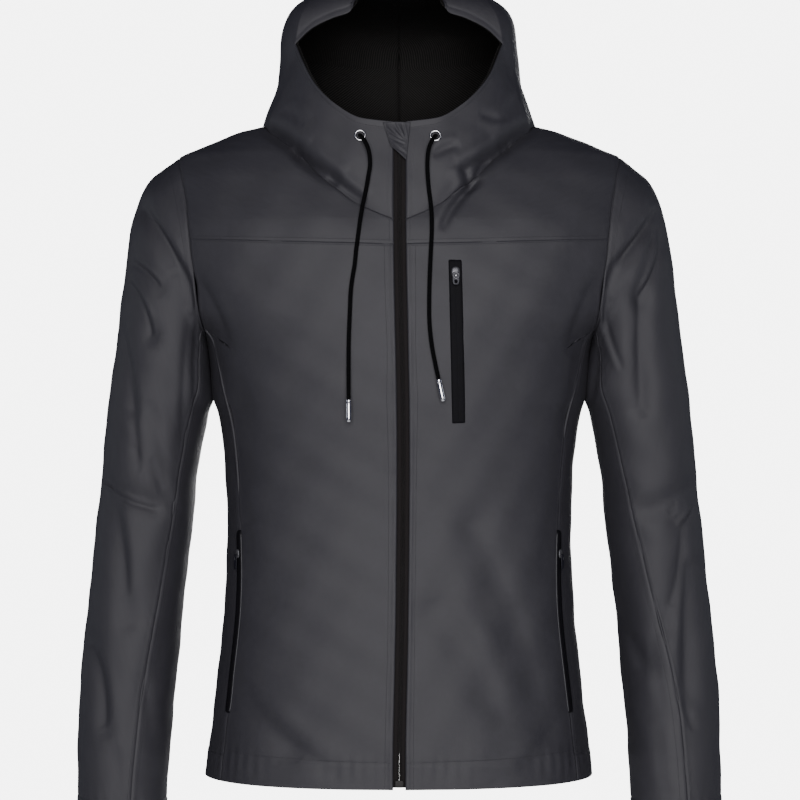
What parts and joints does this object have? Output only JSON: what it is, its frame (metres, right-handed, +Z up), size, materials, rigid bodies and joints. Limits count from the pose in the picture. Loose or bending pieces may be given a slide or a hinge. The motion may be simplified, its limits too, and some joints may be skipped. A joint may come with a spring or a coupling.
{
  "type": "hooded jacket",
  "caption": "Zip-front softshell jacket with a hood, filled out as if worn: hollow body, sleeves and hood, drawcord, chest and hand pocket zips.",
  "frame": {"origin": "middle of the neck at the height where neck and shoulder meet, where the wearer's shoulders carry the jacket", "axes": "+Z up, -Y the way the wearer faces, +X the wearer's left"},
  "size_m": [0.6629, 0.3145, 0.8658],
  "materials": {
    "shell": "matt charcoal stretch softshell with a fine woven face",
    "lining": "black open mesh",
    "zip_tape": "black-brown woven zip tape",
    "zip_coil": "black nylon coil and moulded end box",
    "pocket_zip": "coated waterproof zip, dark navy",
    "puller": "dark grey enamelled slider and tab",
    "eyelet": "bright pressed ring",
    "cord": "black round braided cord",
    "cord_tip": "bright metal tip"
  },
  "bodies": {
    "jacket": {"yoke_left": "shell", "yoke_right": "shell", "front_left": "shell", "front_right": "shell", "side_left": "shell", "side_right": "shell", "sleeve_top_left": "shell", "sleeve_top_right": "shell", "sleeve_under_left": "shell", "sleeve_under_right": "shell", "hood_left": "shell", "hood_right": "shell", "back": "shell", "zip_garage": "shell", "hood_lining_left": "lining", "hood_lining_right": "lining", "zip_tape_left": "zip_tape", "zip_tape_right": "zip_tape", "zip_coil": "zip_coil", "zip_box": "zip_coil", "chest_zip": "pocket_zip", "hand_zip_left": "pocket_zip", "hand_zip_right": "pocket_zip", "zip_slider": "puller", "chest_slider": "puller", "hand_slider_left": "puller", "hand_slider_right": "puller", "eyelet_left": "eyelet", "eyelet_right": "eyelet", "drawcord_left": "cord", "drawcord_right": "cord", "cord_tip_left": "cord_tip", "cord_tip_right": "cord_tip"},
    "chest_tab": {"chest_tab": "puller"},
    "hand_tab_left": {"hand_tab_left": "puller"},
    "hand_tab_right": {"hand_tab_right": "puller"}
  },
  "joints": [
    {"name": "chest_tab_swing", "type": "hinge", "parent": "jacket", "child": "chest_tab", "pos_m": [0.0563, -0.1275, -0.1579], "axis": [-0.9973, -0.0739, 0], "range_deg": [0, 120]},
    {"name": "hand_tab_left_swing", "type": "hinge", "parent": "jacket", "child": "hand_tab_left", "pos_m": [0.1659, -0.061, -0.4405], "axis": [-0.6, -0.8, 0], "range_deg": [0, 120]},
    {"name": "hand_tab_right_swing", "type": "hinge", "parent": "jacket", "child": "hand_tab_right", "pos_m": [-0.1659, -0.061, -0.4405], "axis": [-0.6, 0.8, 0], "range_deg": [0, 120]}
  ]
}
